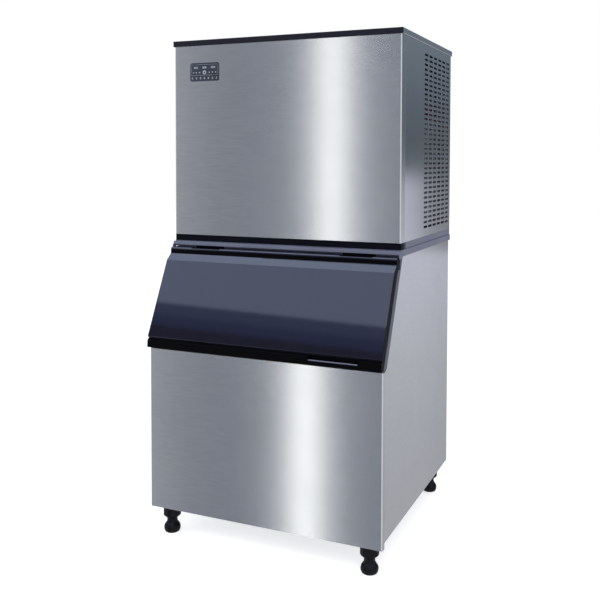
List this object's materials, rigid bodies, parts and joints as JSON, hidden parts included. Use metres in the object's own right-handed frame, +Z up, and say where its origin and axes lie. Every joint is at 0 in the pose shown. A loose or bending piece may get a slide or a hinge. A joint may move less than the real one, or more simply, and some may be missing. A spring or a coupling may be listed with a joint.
{
  "type": "flake ice machine",
  "caption": "Floor-standing flake ice machine: a stainless ice-making head with side air slots on an insulated storage bin with a sloping black lift-up door and adjustable feet.",
  "frame": {"origin": "on the floor, under the middle of the machine's bounding box", "axes": "+Z up, +Y from the door towards the back, +X to the right as one faces the door"},
  "size_m": [0.768, 0.7573, 1.5423],
  "materials": {
    "brushed_stainless": "brushed stainless sheet",
    "galvanised": "galvanised sheet",
    "black_lid": "smooth black moulding",
    "black_band": "black moulding",
    "grey_trim": "grey moulding",
    "door_black": "semi-gloss black moulding",
    "frame_grey": "dark grey moulding",
    "display_black": "smooth dark panel",
    "liner_white": "white moulding",
    "foam": "rigid insulation foam",
    "gasket_rubber": "soft black seal",
    "leg_black": "black moulding",
    "zinc": "zinc plated steel",
    "casting": "cast metal",
    "motor_paint": "dark satin paint",
    "copper": "copper pipe",
    "pipe_foam": "black closed-cell lagging",
    "fin_aluminium": "bare aluminium",
    "clear_hose": "translucent plastic"
  },
  "bodies": {
    "cabinet": {"bin_side_panel_left": "brushed_stainless", "bin_side_panel_right": "brushed_stainless", "bin_back_panel": "galvanised", "bin_front_panel": "brushed_stainless", "bin_base_panel": "galvanised", "bin_insulation": "foam", "bin_liner": "liner_white", "bin_drain": "liner_white", "bin_top_trim": "grey_trim", "bin_door_frame": "frame_grey", "hinge_bracket_left": "zinc", "hinge_bracket_right": "zinc", "head_base_pan": "galvanised", "head_front_panel": "brushed_stainless", "head_side_panel_left": "brushed_stainless", "head_side_panel_right": "brushed_stainless", "head_back_panel": "galvanised", "head_lid": "black_lid", "head_base_band": "black_band", "head_side_rail_left": "grey_trim", "head_side_rail_right": "grey_trim", "display_panel": "display_black", "control_box": "galvanised", "gear_motor": "motor_paint", "evaporator_barrel": "pipe_foam", "ice_breaker_head": "casting", "ice_chute": "liner_white", "water_reservoir": "liner_white", "float_valve": "liner_white", "water_inlet_fitting": "casting", "cable_gland": "leg_black", "compressor": "motor_paint", "condenser_coil": "fin_aluminium", "fan_shroud": "galvanised", "fan_motor": "motor_paint", "filter_drier": "copper", "discharge_line": "copper", "suction_line": "pipe_foam", "water_hose": "clear_hose", "head_post_front_left": "galvanised", "leg_sleeve_front_left": "leg_black", "head_post_front_right": "galvanised", "leg_sleeve_front_right": "leg_black", "head_post_back_left": "galvanised", "leg_sleeve_back_left": "leg_black", "head_post_back_right": "galvanised", "leg_sleeve_back_right": "leg_black"},
    "door": {"door_shell": "door_black", "door_core": "foam", "door_liner": "liner_white", "door_gasket": "gasket_rubber", "hinge_pin_left": "zinc", "hinge_pin_right": "zinc"},
    "auger": {"auger": "zinc"},
    "fan": {"fan_blade": "motor_paint"},
    "float": {"float_arm": "clear_hose"},
    "foot_front_left": {"foot_front_left": "leg_black"},
    "foot_front_right": {"foot_front_right": "leg_black"},
    "foot_back_left": {"foot_back_left": "leg_black"},
    "foot_back_right": {"foot_back_right": "leg_black"}
  },
  "joints": [
    {"name": "door_hinge", "type": "hinge", "parent": "cabinet", "child": "door", "pos_m": [0, -0.22825, 0.871], "axis": [-1, 0, 0], "range_deg": [0, 110]},
    {"name": "auger_spin", "type": "hinge", "parent": "cabinet", "child": "auger", "pos_m": [-0.165, 0.03675, 1.2], "axis": [0, 0, 1], "continuous": true},
    {"name": "fan_spin", "type": "hinge", "parent": "cabinet", "child": "fan", "pos_m": [0.2837, 0.18175, 1.1225], "axis": [1, 0, 0], "continuous": true},
    {"name": "float_swing", "type": "hinge", "parent": "cabinet", "child": "float", "pos_m": [-0.3182, -0.11875, 1.388], "axis": [1, 0, 0], "range_deg": [0, 20]},
    {"name": "foot_front_left_screw", "type": "slide", "parent": "cabinet", "child": "foot_front_left", "axis": [0, 0, -1], "range_m": [0, 0.02]},
    {"name": "foot_front_right_screw", "type": "slide", "parent": "cabinet", "child": "foot_front_right", "axis": [0, 0, -1], "range_m": [0, 0.02]},
    {"name": "foot_back_left_screw", "type": "slide", "parent": "cabinet", "child": "foot_back_left", "axis": [0, 0, -1], "range_m": [0, 0.02]},
    {"name": "foot_back_right_screw", "type": "slide", "parent": "cabinet", "child": "foot_back_right", "axis": [0, 0, -1], "range_m": [0, 0.02]}
  ]
}
